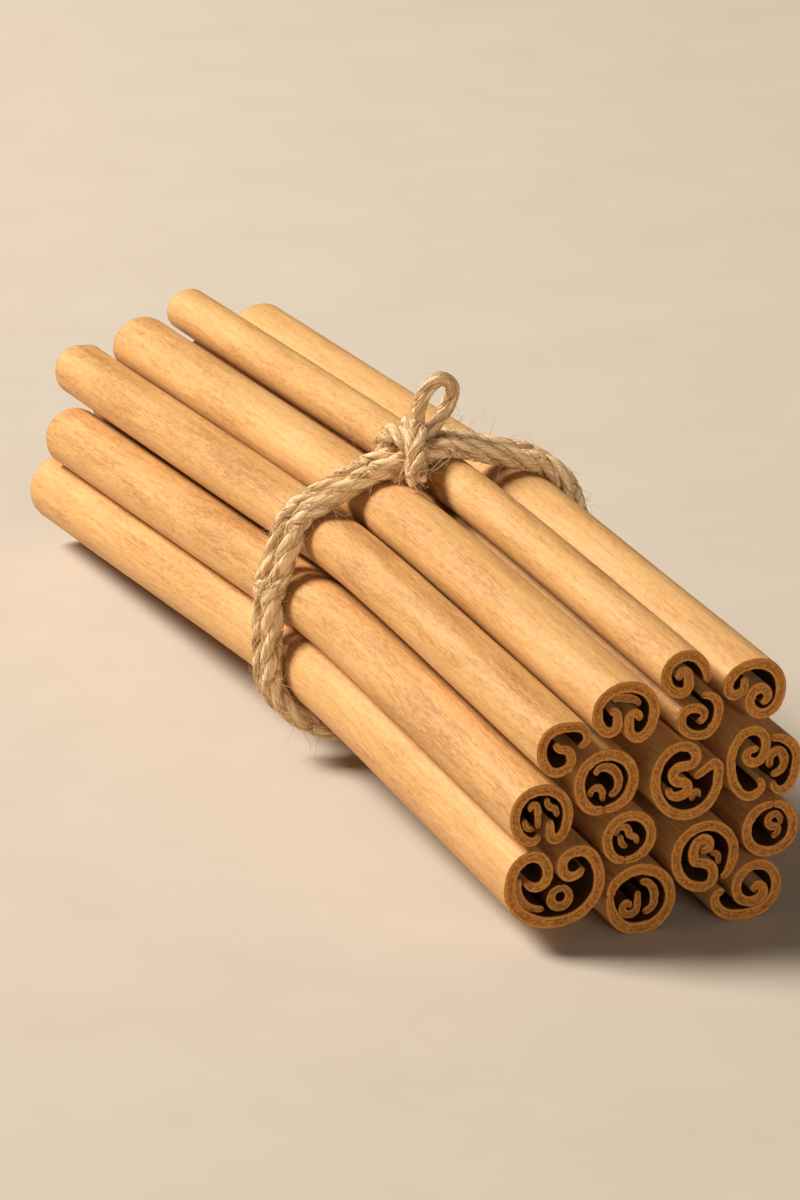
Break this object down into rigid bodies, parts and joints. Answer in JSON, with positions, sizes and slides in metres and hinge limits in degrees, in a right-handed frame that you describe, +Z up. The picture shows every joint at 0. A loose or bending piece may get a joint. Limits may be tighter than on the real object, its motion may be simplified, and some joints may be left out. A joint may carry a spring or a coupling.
{
  "type": "tied bundle of cinnamon sticks",
  "caption": "Rolled cinnamon bark sticks tied into a bundle with thin natural twine, a knot and a half bow; it lies on its side",
  "frame": {"origin": "middle of the bundle's box on the plane that it lies on, z = 0", "axes": "+X runs along the sticks towards their shown cut ends, +Z is up, and +Y is across the bundle"},
  "size_m": [0.1516, 0.039, 0.0434],
  "materials": {
    "bark": "matt, light tan",
    "inner_bark": "matt, darker brown",
    "twine": "matt, straw coloured"
  },
  "bodies": {
    "root": {"stick_01": "bark", "stick_02": "bark", "stick_03": "bark", "stick_04": "bark", "stick_05": "bark", "stick_06": "bark", "stick_07": "bark", "stick_08": "bark", "stick_09": "bark", "stick_10": "bark", "stick_11": "bark", "stick_12": "bark", "stick_13": "bark", "stick_14": "bark", "stick_15": "bark", "stick_16": "bark", "curl_04": "inner_bark", "curl_06_a": "inner_bark", "curl_06_b": "inner_bark", "curl_07": "inner_bark", "curl_09": "inner_bark", "curl_10_a": "inner_bark", "curl_10_b": "inner_bark", "curl_10_c": "inner_bark", "curl_11_a": "inner_bark", "curl_11_b": "inner_bark", "curl_12": "inner_bark", "curl_13": "inner_bark", "curl_14_a": "inner_bark", "curl_14_b": "inner_bark", "curl_15_a": "inner_bark", "curl_15_b": "inner_bark", "twine_tie": "twine"}
  },
  "joints": []
}
